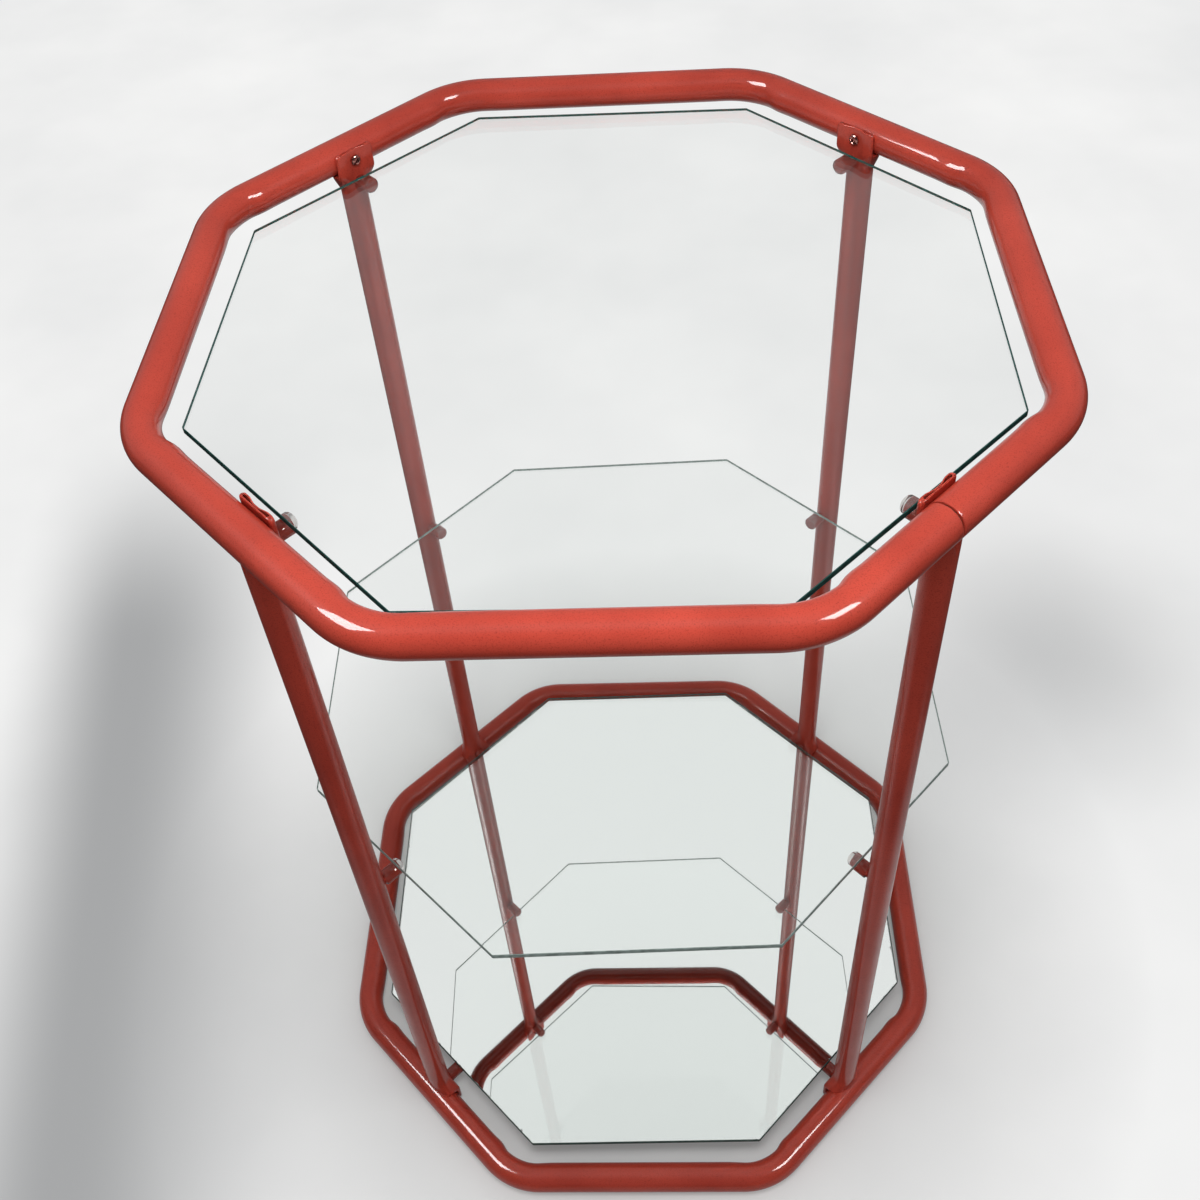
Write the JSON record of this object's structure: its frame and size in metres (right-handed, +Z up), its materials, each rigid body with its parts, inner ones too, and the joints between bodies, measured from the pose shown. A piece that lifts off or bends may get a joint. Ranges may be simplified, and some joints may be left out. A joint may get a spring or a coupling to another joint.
{
  "type": "octagonal tiered side table",
  "caption": "Octagonal side table of red painted steel tube, with loose glass shelves and a mirror bottom shelf resting on capped pegs.",
  "frame": {"origin": "middle of the table on the floor, under the bottom ring", "axes": "+Z up, the front faces -Y, +X to the right seen from the front"},
  "size_m": [0.46, 0.46, 0.654],
  "materials": {
    "red_paint": "gloss coral red paint over steel tube",
    "bare_steel": "bare drawn steel",
    "screw_steel": "bright plated steel",
    "clear_cap": "clear soft plastic",
    "clear_glass": "clear float glass with green ground edges",
    "mirror": "back-silvered float glass"
  },
  "bodies": {
    "frame": {"top_ring": "red_paint", "bottom_ring": "red_paint", "top_ring_sleeve": "bare_steel", "bottom_ring_sleeve": "bare_steel", "leg_back_right": "red_paint", "leg_back_left": "red_paint", "leg_front_left": "red_paint", "leg_front_right": "red_paint", "screw_top_back_right": "screw_steel", "screw_top_back_left": "screw_steel", "screw_top_front_left": "screw_steel", "screw_top_front_right": "screw_steel", "screw_bottom_back_right": "screw_steel", "screw_bottom_back_left": "screw_steel", "screw_bottom_front_left": "screw_steel", "screw_bottom_front_right": "screw_steel", "peg_top_back_right": "red_paint", "peg_top_back_left": "red_paint", "peg_top_front_left": "red_paint", "peg_top_front_right": "red_paint", "peg_middle_back_right": "red_paint", "peg_middle_back_left": "red_paint", "peg_middle_front_left": "red_paint", "peg_middle_front_right": "red_paint", "peg_bottom_back_right": "red_paint", "peg_bottom_back_left": "red_paint", "peg_bottom_front_left": "red_paint", "peg_bottom_front_right": "red_paint", "peg_cap_top_back_right": "clear_cap", "peg_cap_top_back_left": "clear_cap", "peg_cap_top_front_left": "clear_cap", "peg_cap_top_front_right": "clear_cap", "peg_cap_middle_back_right": "clear_cap", "peg_cap_middle_back_left": "clear_cap", "peg_cap_middle_front_left": "clear_cap", "peg_cap_middle_front_right": "clear_cap", "peg_cap_bottom_back_right": "clear_cap", "peg_cap_bottom_back_left": "clear_cap", "peg_cap_bottom_front_left": "clear_cap", "peg_cap_bottom_front_right": "clear_cap"},
    "top_shelf": {"top_glass_shelf": "clear_glass"},
    "middle_shelf": {"middle_glass_shelf": "clear_glass"},
    "mirror": {"mirror_shelf": "mirror"}
  },
  "joints": [
    {"name": "top_shelf_lift", "type": "slide", "parent": "frame", "child": "top_shelf", "axis": [0, 0, 1], "range_m": [0, 0.08]},
    {"name": "middle_shelf_lift", "type": "slide", "parent": "frame", "child": "middle_shelf", "axis": [0, 0, 1], "range_m": [0, 0.29]},
    {"name": "mirror_lift", "type": "slide", "parent": "frame", "child": "mirror", "axis": [0, 0, 1], "range_m": [0, 0.285]}
  ]
}
